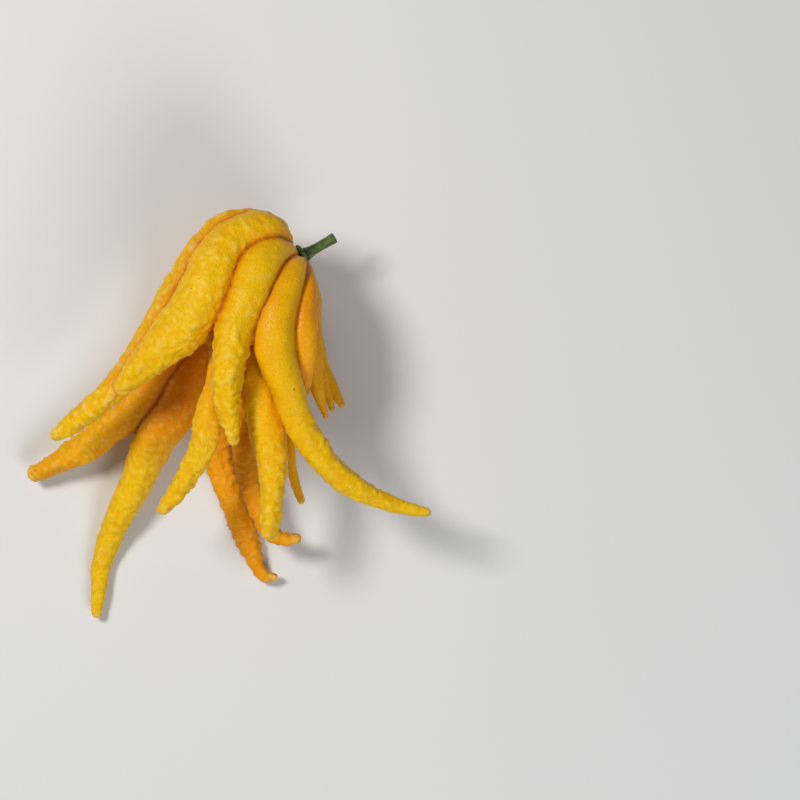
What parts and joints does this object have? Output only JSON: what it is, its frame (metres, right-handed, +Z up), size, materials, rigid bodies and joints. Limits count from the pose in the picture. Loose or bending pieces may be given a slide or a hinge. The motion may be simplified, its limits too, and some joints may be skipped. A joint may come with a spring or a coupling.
{
  "type": "buddhas hand citron",
  "caption": "Picked Buddha's hand citron lying on its back: a knobbly yellow fruit split into long curling fingers, with its calyx and a cut stub of stalk.",
  "frame": {"origin": "centre of the bounding box, on the surface the fruit lies on", "axes": "+Z up from that surface, +Y towards the stalk end, the finger tips towards -Y, +X to the right seen from above"},
  "size_m": [0.1847, 0.1851, 0.0844],
  "materials": {
    "peel": "waxy, pebbled yellow citrus peel",
    "green_skin": "dull green plant skin",
    "green_bark": "ridged green bark"
  },
  "bodies": {
    "root": {"citron_fruit": "peel", "calyx": "green_skin", "stalk_stub": "green_bark"}
  },
  "joints": []
}
